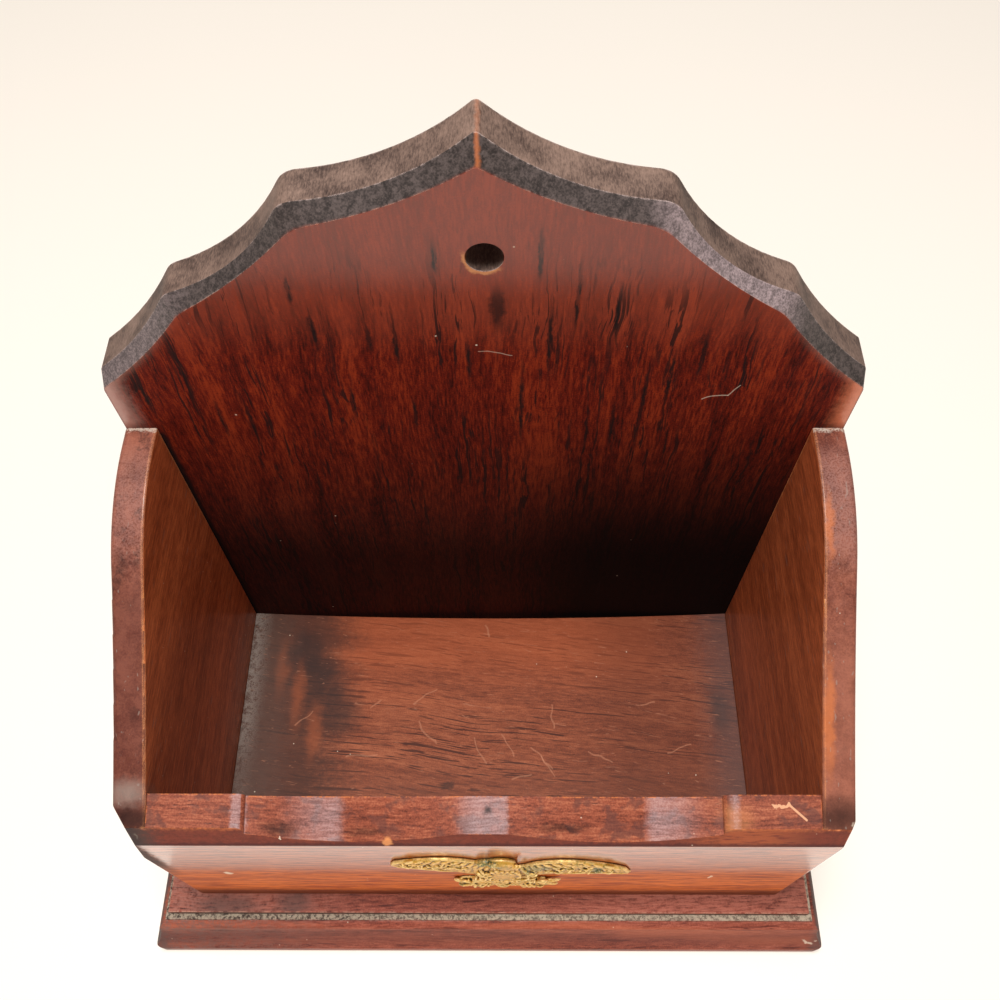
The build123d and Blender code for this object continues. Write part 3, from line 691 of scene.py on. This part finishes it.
# Base: dust in the quirk, a rubbed arris above it, duller ends
baseBoard = {
    "tones": [(0.070, 0.016, 0.011, 1), (0.25, 0.060, 0.036, 1), (0.42, 0.13, 0.080, 1)],
    "grainLine": (0.055, 0.012, 0.010, 1),
    "bandLight": (0.40, 0.10, 0.045, 1),
    "grey": (0.15, 0.080, 0.066, 1),
    "endGrey": (0.080, 0.062, 0.056, 1),
    "endRoughness": 0.56,
    "topLight": (0.50, 0.17, 0.115, 1),
    "smear": (0.07, 0.05, 0.045, 1),
    "smears": [((-62, -49, baseTop), (5, 4, 9)), ((-84, -50, baseTop), (9, 3, 9))],
    # the quirk is a pale ledge of dust under a dark line, measured down from the top
    "quirkDark": (0.030, 0.024, 0.018, 1),
    "quirkDust": (0.46, 0.36, 0.26, 1),
    "quirkTop": 1.2,
    "ledgeTop": 2.9,
    "ledgeFoot": 3.6,
    "upperArris": (0.60, 0.33, 0.22, 1),
    "lowerArris": (0.42, 0.20, 0.15, 1),
    "arrisRoughness": 0.55,
    # painted reflection of the table along the foot
    "foot": (0.40, 0.25, 0.22, 1),
    "cove": (0.10, 0.026, 0.020, 1),
    "scratches": [((98.6, -56.0, 11.5), (106.6, -60.2, 7.4), 0.6),
                  ((106.5, -58.5, 9), (108.5, -57, 5), 0.45)],
}


def dressBase():
    v = baseBoard
    b = Board("baseWood", "X", (17, 63, 29), v["tones"], bands=0.55, dull=0.22)
    up = b.normal[2]
    top = b.step(up, 0.9, 0.97) * b.step(b.z, baseTop - 0.8, baseTop - 0.3)
    b.mark(v["grainLine"], b.step(b.noise(b.fibre, 1.2, 2, 0.5, 0.3), 0.60, 0.68) * 0.65)
    b.mark(v["bandLight"], b.step(b.bands, 0.5, 0.68) * (1 - top) * 0.5)
    # greyer towards the left and on both ends
    greyed = b.step(b.mottle * 0.6 + b.speckle * 0.4, 0.40, 0.60) * b.step(b.x, -30, -95)
    b.mark(v["grey"], greyed * 0.8)
    endGrain = b.step(abs(b.normal[0]), 0.35, 0.7) * b.step(b.fibres, 0.30, 0.62)
    b.mark(v["endGrey"], endGrain * 0.8, v["endRoughness"])
    ends = b.step(b.shaken(abs(b.x), 4), 103.5, 107)
    b.mark(v["endGrey"], ends * 0.6, "chalky")
    b.mark(v["topLight"], top * b.step(b.mottle * 0.5 + b.fibres * 0.5, 0.34, 0.58)
           * b.step(abs(b.x + 8), 26, 62) * 0.5)
    b.spots(v["smear"], 0.6, 0.7, v["smears"])
    ledge = b.between(b.z, baseTop - v["ledgeFoot"], baseTop - v["ledgeTop"], 0.12) * b.step(up, 0.5, 0.8)
    grains = b.step(b.noise(b.ragged, 1.1, 3, 0.7), 0.38, 0.60)
    filled = b.step(b.shaken(b.x, 60), -75, 20)
    quirk = b.between(b.z, baseTop - v["ledgeFoot"] - 0.1, baseTop - v["quirkTop"], 0.2) * (1 - top)
    b.mark(v["quirkDark"], quirk * 0.9, "chalky")
    b.mark(v["quirkDust"], ledge * (grains * 0.75 + filled * 0.25), 0.8)
    # rubbed arrises, a painted reflection of the table along the foot, the cove darker and one knocked corner
    wear = b.edges(0.7)
    upper = wear * b.step(b.mottle, 0.42, 0.58) * b.step(b.z, baseTop - 1.2, baseTop - 0.5)
    b.mark(v["upperArris"], upper * 0.8, v["arrisRoughness"])
    lower = wear * b.step(b.mottle, 0.46, 0.62) * b.step(b.z, baseTop - 1.2, baseTop - 2.5)
    b.mark(v["lowerArris"], lower * 0.7, v["arrisRoughness"])
    b.mark(v["foot"], b.step(b.shaken(b.z, 2), 4.2, 1.0) * 0.5)
    b.mark(v["cove"], b.between(b.swept(b.z, 3), 7, 14, 2.5) * (1 - top) * 0.45)
    lines = reduce(Signal.__add__, [b.scratch(b.ragged, *line) for line in v["scratches"]])
    b.mark("cream", lines * 0.5, "chalky")
    b.specks(4.5, 0.25, 0.4, 0.55)
    b.finish("base_plinth")


dressBack()
dressSide("left_side")
dressSide("right_side")
dressFront()
dressFloor()
dressBase()

# Metal: the steel fasteners
steel = {
    "nodes": ("back_brads", "side_brads", "base_screws"),
    "bright": (0.50, 0.49, 0.47, 1),
    "rust": (0.10, 0.045, 0.02, 1),
    "blotchSize": 0.8,  # mm
    "bumpHeight": 0.05,
    "roughness": 0.4,
    "metallic": 0.9,
}


def dressSteel():
    s = Sheet("dullSteel")
    where = s.node("TexCoord", {}, {}, "Object")
    blotch = s.noise(where, steel["blotchSize"] * mm, 4, 0.65)
    colour = s.blend(s.step(blotch, 0.5, 0.7), steel["bright"], steel["rust"])
    material = s.shade({"Base Color": colour, "Metallic": steel["metallic"],
                        "Roughness": steel["roughness"] + blotch * 0.2,
                        "Normal": s.bump(blotch, 0.3, steel["bumpHeight"])})
    for node in steel["nodes"]:
        cover(node, material)


dressSteel()
print("steel finished")

# Emblem: a spread eagle, built up of strands in the board's plane and cast as one skin
eagle = {
    "middle": (4.6, 64.5),  # mm, across and up the board
    "tilt": -4.0,  # degrees
    "grain": 0.24,  # mm, size of the cast skin's facets
    "prongs": (-7.0, 7.0),
    "prongRadius": 0.8,
    "prongLength": 4.0,
    "prongRoot": 0.8,  # mm of each prong inside the casting
    # leading and trailing edges of each wing, from the root to the tip
    "rightLead": [(3.6, 9.2), (6.0, 12.4), (9.5, 16.6), (16.0, 18.8), (24.0, 16.8), (31.0, 12.0),
                  (36.0, 4.6)],
    "rightTrail": [(4.0, -3.5), (10.5, -1.8), (16.8, 1.6), (23.0, 4.6), (29.5, 3.6), (35.8, 2.6)],
    "leftLead": [(-3.2, 9.6), (-6.4, 12.6), (-10.2, 17.0), (-16.4, 19.2), (-22.6, 18.0), (-28.0, 14.8),
                 (-31.4, 10.4)],
    "leftTrail": [(-4.0, -3.5), (-9.5, -1.6), (-14.4, 2.2), (-20.5, 6.0), (-26.0, 6.6), (-31.0, 8.2)],
    "feathers": 11,
    "featherSize": (1.9, 0.95),
    "leadRoll": (1.3, 1.0),  # width and height of the roll along the leading edge
    "wingPlate": 0.7,
    "tailPlate": [(-3, -6), (-7.2, -18.6), (-4, -20.6), (0, -21.2), (4, -20.6), (7.2, -18.6), (3, -6)],
    "sprigPlate": [(4, -19.6), (11, -18.4), (15.0, -12.6), (13, -7.4), (6, -6.4)],
    "dartsPlate": [(-4, -19.0), (-9, -17.4), (-13.4, -12.2), (-11, -8.4), (-5, -7.2)],
    "breastRows": 9,
    "tailFeathers": 7,
    "leaves": 6,
    "darts": 4,
    "seed": 7,
    # left, low, right, high, lift and how many of the curled strands lie there
    "tangles": [(-7.5, -6, 9, 9, 1.5, 46), (-11, -17, 13, -7, 1.1, 40), (-28, 8, -10, 15, 0.7, 30),
                (9, 5, 30, 14, 0.7, 34)],
    "bright": (0.66, 0.34, 0.050, 1),
    "olive": (0.34, 0.21, 0.025, 1),
    "patinaAndShade": (0.060, 0.022, 0.006, 1),
    "patina": (0.045, 0.085, 0.036, 1),
    "paintedGlint": (0.95, 0.66, 0.26, 1),
    # green places: middle of each and how far it reaches, how soft and how much
    "greens": [((1.2, frontFace - 2, 81.0), (3.8, 3, 3.8), 0.4, 1),
               ((14.5, frontFace - 1, 74.5), (4.5, 3, 4.0), 0.5, 0.8),
               ((31.0, frontFace - 1, 72.0), (1.6, 3, 5.0), 0.5, 1),
               ((-9.5, frontFace - 1, 50.5), (2.6, 3, 3.0), 0.5, 0.8)],
    "blotchSize": 2.2,
    "fineSize": 0.5,
    "bumpHeight": 0.08,
    "roughness": 0.34,
    "metallic": 0.4,
}


def alongCurve(points, share):
    # a point of the smooth curve through the points
    spans = len(points) - 1
    at = min(max(share, 0.0), 1.0) * spans
    i = min(int(at), spans - 1)
    t = at - i
    before, start, end, after = (Vector(points[min(max(k, 0), spans)]) for k in (i - 1, i, i + 1, i + 2))
    return 0.5 * (2 * start + (end - before) * t + (2 * before - 5 * start + 4 * end - after) * t ** 2
                  + (3 * start - before - 3 * end + after) * t ** 3)


def addStrand(mesh, points, width, height, rise=0.0, taper=0.35, wave=0.0, steps=14, sides=8):
    # a rounded strand along a curve, thin at its ends; rise lifts it off the board
    path = [alongCurve(points, k / steps) for k in range(steps + 1)]
    length = sum((b - a).length for a, b in zip(path, path[1:]))
    rings = []
    for k, here in enumerate(path):
        t = k / steps
        ahead = (path[min(k + 1, steps)] - path[max(k - 1, 0)]).normalized()
        across = Vector((-ahead.y, ahead.x))
        full = math.sin(math.pi * min(max(t, 0.02), 0.98)) ** taper
        here = here + across * (wave * math.sin(t * length * 1.7))
        ring = []
        for m in range(sides):
            angle = 2 * math.pi * m / sides
            side = across * (math.cos(angle) * full * width / 2)
            up = rise + full * height * (0.35 + 0.65 * math.sin(angle))
            ring.append(mesh.verts.new((here.x + side.x, here.y + side.y, up)))
        rings.append(ring)
    for one, other in zip(rings, rings[1:]):
        for m in range(sides):
            n = (m + 1) % sides
            mesh.faces.new((one[m], one[n], other[n], other[m]))
    mesh.faces.new(rings[0][::-1])
    mesh.faces.new(rings[-1])


def addPlate(mesh, outline, thickness=0.6, below=0.6):
    # a flat plate that ties the strands together
    lower = [mesh.verts.new((x, y, -below)) for x, y in outline]
    upper = [mesh.verts.new((x, y, thickness)) for x, y in outline]
    for k in range(len(outline)):
        m = (k + 1) % len(outline)
        mesh.faces.new((lower[k], lower[m], upper[m], upper[k]))
    mesh.faces.new(lower[::-1])
    mesh.faces.new(upper)


def addWing(mesh, lead, trail):
    width, height = eagle["featherSize"]
    count = eagle["feathers"]
    shares = [k / 24 for k in range(25)]
    rim = [alongCurve(lead, share) for share in shares] + [alongCurve(trail, 1 - share) for share in shares]
    addPlate(mesh, rim, eagle["wingPlate"])
    for k in range(count):
        # a long feather, with two shorter ones over its root
        share = k / (count - 1)
        start = alongCurve(lead, 0.10 + 0.62 * share)
        end = alongCurve(trail, 0.02 + 0.97 * share)
        bend = Vector((math.copysign(1.6, lead[-1][0]) * (0.4 + share), 0.8 * share))
        middle = (start + end) / 2 + bend
        addStrand(mesh, [start, middle, end], width * (1.1 - 0.3 * share), height, 0.25, 0.4, 0.12)
        inner = start.lerp(middle, 0.55)
        halfway = start.lerp(inner, 0.5) + bend * 0.15
        addStrand(mesh, [start, halfway, inner], width * 0.8, height * 0.8, 0.85, 0.5)
        inner = start.lerp(middle, 0.95) + Vector((0.9, -0.4))
        addStrand(mesh, [start + Vector((0.5, -0.6)), inner], width * 0.5, height * 0.7, 0.75, 0.5, 0.2)
    addStrand(mesh, lead, *eagle["leadRoll"], 0.2, 0.3, 0.1, 40)
    outer = [alongCurve(trail, share) for share in (0.35, 0.7, 1.0)]
    addStrand(mesh, outer, 1.0, 0.9, 0.3, 0.3, 0.15, 24)


def addBody(mesh):
    # breast with rows of small feathers, neck, head turned to the left, hooked beak
    rows = eagle["breastRows"]
    addStrand(mesh, [(0.4, -9.5), (0.2, 2.0), (-0.2, 13.5)], 10.6, 2.3, 0.0, 0.45, 0, 20, 12)
    for row in range(rows):
        up = -7.5 + row * 2.1
        half = 4.4 * math.sin(math.pi * (row + 1.4) / (rows + 2))
        count = 4 + row % 2
        for k in range(count):
            across = -half + 2 * half * k / (count - 1)
            feather = [(across, up + 1.2), (across + 0.15 * across, up - 1.0)]
            addStrand(mesh, feather, 1.5, 0.7, 1.65 - 0.02 * across ** 2, 0.6)
    addStrand(mesh, [(0.8, 10.0), (0.2, 13.4), (-1.4, 16.6)], 6.4, 2.4, 0.0, 0.3)
    addStrand(mesh, [(1.6, 15.2), (-1.2, 17.6), (-4.4, 16.6)], 5.4, 2.6, 0.0, 0.3)
    addStrand(mesh, [(-3.6, 17.4), (-6.6, 16.9), (-8.2, 14.9)], 2.0, 2.0, 0.1, 0.5)
    addStrand(mesh, [(-0.6, 18.4), (-3.4, 18.9), (-5.2, 17.9)], 1.2, 1.2, 1.5, 0.5)
    for k in range(4):
        addStrand(mesh, [(3.6 - 0.9 * k, 18.0 - 0.2 * k), (2.6 - 1.1 * k, 12.2)], 1.2, 0.9, 1.5, 0.5, 0.2)


def addTail(mesh):
    count = eagle["tailFeathers"]
    for k in range(count):
        share = k / ((count - 1) / 2) - 1
        feather = [(1.6 * share, -6.5), (4.2 * share, -13.0), (6.9 * share, -20.4 + 1.3 * share ** 2)]
        addStrand(mesh, feather, 2.3, 1.3, 0.1, 0.25, 0.1)
    addPlate(mesh, eagle["tailPlate"])


def addLeg(mesh, side):
    # a leg and its talons
    addStrand(mesh, [(side * 2.4, -5.0), (side * 5.0, -9.0), (side * 7.4, -11.6)], 3.0, 2.0, 0.2, 0.4)
    for k in range(3):
        talon = [(side * 7.0, -11.0), (side * (8.4 + k), -12.6 - 0.6 * k), (side * (7.2 + 1.5 * k), -15.0)]
        addStrand(mesh, talon, 1.1, 1.4, 0.9, 0.5)


def addSprig(mesh):
    # leaves in pairs along a stem
    addStrand(mesh, [(3.0, -13.6), (8.0, -12.4), (15.0, -10.6)], 1.4, 1.2, 0.3, 0.4, 0.1)
    for k in range(eagle["leaves"]):
        x, y = 3.8 + 1.9 * k, -13.3 + 0.45 * k
        for turn in (1, -1):
            leaf = [(x, y), (x + 2.0, y + turn * 2.3), (x + 4.4, y + turn * 3.4)]
            addStrand(mesh, leaf, 1.9, 1.0, 0.5, 0.5)
    addPlate(mesh, eagle["sprigPlate"])


def addDarts(mesh):
    for k in range(eagle["darts"]):
        y = -12.6 - 1.1 * k
        shift = 0.7 * k
        addStrand(mesh, [(-1.0, y - 0.6), (-7.0, y + 1), (-13.2 + shift, y + 1.9)], 1.2, 1.1, 0.4, 0.2)
        addStrand(mesh, [(-10.8 + shift, y + 1.8), (-13.6 + shift, y + 2.1)], 2.2, 1.0, 0.5, 0.8)
    addPlate(mesh, eagle["dartsPlate"])


def addTangle(mesh):
    # small curled strands, like the ruffled feathers of an old stamping
    dice = random.Random(eagle["seed"])
    for left, low, right, high, rise, count in eagle["tangles"]:
        for k in range(count):
            here = Vector((dice.uniform(left, right), dice.uniform(low, high)))
            turn = dice.uniform(0, 2 * math.pi)
            bend = dice.uniform(-1.3, 1.3)
            size = dice.uniform(0.9, 1.9)
            ahead = Vector((math.cos(turn), math.sin(turn))) * size
            across = Vector((-ahead.y, ahead.x)) * bend
            addStrand(mesh, [here - ahead, here + across * 0.5, here + ahead], 0.75, 1.0, rise, 0.4, 0, 8, 6)


def skinOf(mesh):
    # the strands and plates melted into one smooth skin
    rough = bpy.data.meshes.new("roughEagle")
    mesh.to_mesh(rough)
    mesh.free()
    blank = addObject("roughEagle", rough)
    skin = blank.modifiers.new("skin", "REMESH")
    skin.mode = "VOXEL"
    skin.voxel_size = eagle["grain"]
    smooth = blank.modifiers.new("smooth", "SMOOTH")
    smooth.factor = 0.5
    smooth.iterations = 1
    cast = bpy.data.meshes.new_from_object(blank.evaluated_get(bpy.context.evaluated_depsgraph_get()))
    bpy.data.objects.remove(blank)
    cast.polygons.foreach_set("use_smooth", [True] * len(cast.polygons))
    cast.name = "eagle"
    return cast


def castEagle():
    mesh = bmesh.new()
    addWing(mesh, eagle["rightLead"], eagle["rightTrail"])
    addWing(mesh, eagle["leftLead"], eagle["leftTrail"])
    addBody(mesh)
    addTail(mesh)
    addLeg(mesh, 1)
    addSprig(mesh)
    addLeg(mesh, -1)
    addDarts(mesh)
    addTangle(mesh)
    radius, length, root = eagle["prongRadius"], eagle["prongLength"], eagle["prongRoot"]
    for x in eagle["prongs"]:
        bmesh.ops.create_cone(mesh, cap_ends=True, segments=16, radius1=radius, radius2=radius,
                              depth=length + root, matrix=Matrix.Translation((x, 0, (root - length) / 2)))
    cast = skinOf(mesh)
    # flat behind, but for the prongs, then stood up on the board and turned
    turn = Matrix.Rotation(math.radians(eagle["tilt"]), 4, "Y").inverted()
    middleX, middleZ = eagle["middle"]
    for point in cast.vertices:
        x, y, out = point.co
        nearProng = min(math.hypot(x - prong, y) for prong in eagle["prongs"]) < radius + 0.2
        if out < 0 and not nearProng:
            out = 0.0
        place = turn @ Vector((x, 0, y))
        point.co = Vector((middleX + place.x, frontFace - out, middleZ + place.z)) * mm
    piece = addObject("eagle", cast)
    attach(piece, "root")
    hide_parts("eagle_emblem")
    print("eagle cast:", len(cast.polygons), "facets")
    return piece


def gildEagle(piece):
    s = Sheet("oldGilt")
    place = s.millimetres()
    relief = frontFace - s.parts(place)[1]
    blotch = s.noise(place, eagle["blotchSize"], 4, 0.65)
    fine = s.noise(place, eagle["fineSize"], 3, 0.6)
    shaken = fine - 0.5
    point = s.node("NewGeometry", {}, {}, "Pointiness")
    # pale as painted glints on the high places; brown in the hollows and at the board, partly patina and
    # partly painted shade
    gold = s.blend(s.step(blotch, 0.34, 0.50), eagle["olive"], eagle["bright"])
    gold = s.blend(s.step(point + shaken * 0.05, 0.505, 0.545), gold, eagle["paintedGlint"])
    colour = s.blend(s.step(point + shaken * 0.06, 0.465, 0.505), eagle["patinaAndShade"], gold)
    colour = s.blend(s.step(relief + shaken * 0.4, 0.05, 0.35), eagle["patinaAndShade"], colour)
    patches = reduce(Signal.__add__, [s.blob(place, middle, reach, soft) * amount
                                      for middle, reach, soft, amount in eagle["greens"]])
    green = s.node("Clamp", {}, {0: patches * 0.85 + s.step(blotch, 0.60, 0.72) * 0.6})
    colour = s.blend(green * s.step(fine, 0.72, 0.45), colour, eagle["patina"])
    piece.data.materials.append(s.shade({
        "Base Color": colour, "Metallic": eagle["metallic"] - green * 0.35,
        "Roughness": eagle["roughness"] + fine * 0.2, "Normal": s.bump(fine, 0.5, eagle["bumpHeight"])}))


gildEagle(castEagle())

# Studio: a pale table, soft light and the camera
studio = {
    "tableReach": 3.0,  # m
    "tableColour": (0.56, 0.52, 0.47, 1),
    "tableRoughness": 0.6,
    "tableGlow": (1.0, 0.88, 0.75, 1),
    "tableGlowStrength": 0.46,
    "skyColour": (1.0, 0.98, 0.95, 1),
    "skyStrength": 0.12,
    "aim": (0, 0, 0.1),  # where the lights point
    # name, place, size, watts and what each light leaves out: the front board shades the well from
    # the fill, and the soft box shows in the varnish
    "lights": [("overhead", (-0.05, -0.04, 1.15), (0.36, 0.36), 15.0, ""),
               ("frontFill", (0.0, -0.8, 0.22), (0.5, 0.3), 2.6, "visible_glossy"),
               ("softBox", (-0.07, 0.22, 1.18), (0.20, 0.34), 2.2, "visible_diffuse")],
    "cameraPlace": (0.005632, -0.097628, 0.361955),
    "cameraAngles": (1.0420885, 0.0117567, 0.0099780),  # dip, turn to the left and roll, radians
    "lens": 35.69,  # mm, on a 36 mm sensor
}


def addLight(name, place, size, power, leftOut):
    light = bpy.data.lights.new(name, "AREA")
    light.shape = "RECTANGLE"
    light.energy = power
    light.size, light.size_y = size
    lamp = addObject(name, light)
    lamp.location = place
    lamp.rotation_euler = (Vector(studio["aim"]) - lamp.location).to_track_quat("-Z", "Y").to_euler()
    if leftOut:
        setattr(lamp, leftOut, False)


def setStudio():
    reach = studio["tableReach"]
    mesh = bpy.data.meshes.new("table")
    corners = [(-reach, -reach, 0), (reach, -reach, 0), (reach, reach, 0), (-reach, reach, 0)]
    mesh.from_pydata(corners, [], [(0, 1, 2, 3)])
    table = addObject("table", mesh)
    mesh.materials.append(Sheet("paleTable").shade({
        "Base Color": studio["tableColour"], "Roughness": studio["tableRoughness"],
        "Emission Color": studio["tableGlow"], "Emission Strength": studio["tableGlowStrength"]}))

    sky = bpy.data.worlds.new("softSky")
    sky.use_nodes = True
    shine = sky.node_tree.nodes["Background"]
    shine.inputs["Color"].default_value = studio["skyColour"]
    shine.inputs["Strength"].default_value = studio["skyStrength"]
    bpy.context.scene.world = sky

    for light in studio["lights"]:
        addLight(*light)


def setCamera():
    dip, turn, roll = studio["cameraAngles"]
    ahead = Vector((0, math.cos(dip), -math.sin(dip)))
    down = Vector((0, -math.sin(dip), -math.cos(dip)))
    right = Vector((1, 0, 0))
    spin = Matrix.Rotation(turn, 3, "Z")
    ahead, down, right = spin @ ahead, spin @ down, spin @ right
    across = math.cos(roll) * right + math.sin(roll) * down
    under = math.cos(roll) * down - math.sin(roll) * right
    place = Matrix((across, -under, -ahead)).transposed().to_4x4()
    place.translation = studio["cameraPlace"]
    lens = bpy.data.cameras.new("camera")
    lens.lens = studio["lens"]
    lens.sensor_width = 36
    lens.clip_start = 0.01
    camera = addObject("camera", lens)
    camera.matrix_world = place
    bpy.context.scene.camera = camera


setStudio()
setCamera()
bpy.context.scene.view_settings.view_transform = "Standard"
print("studio set")
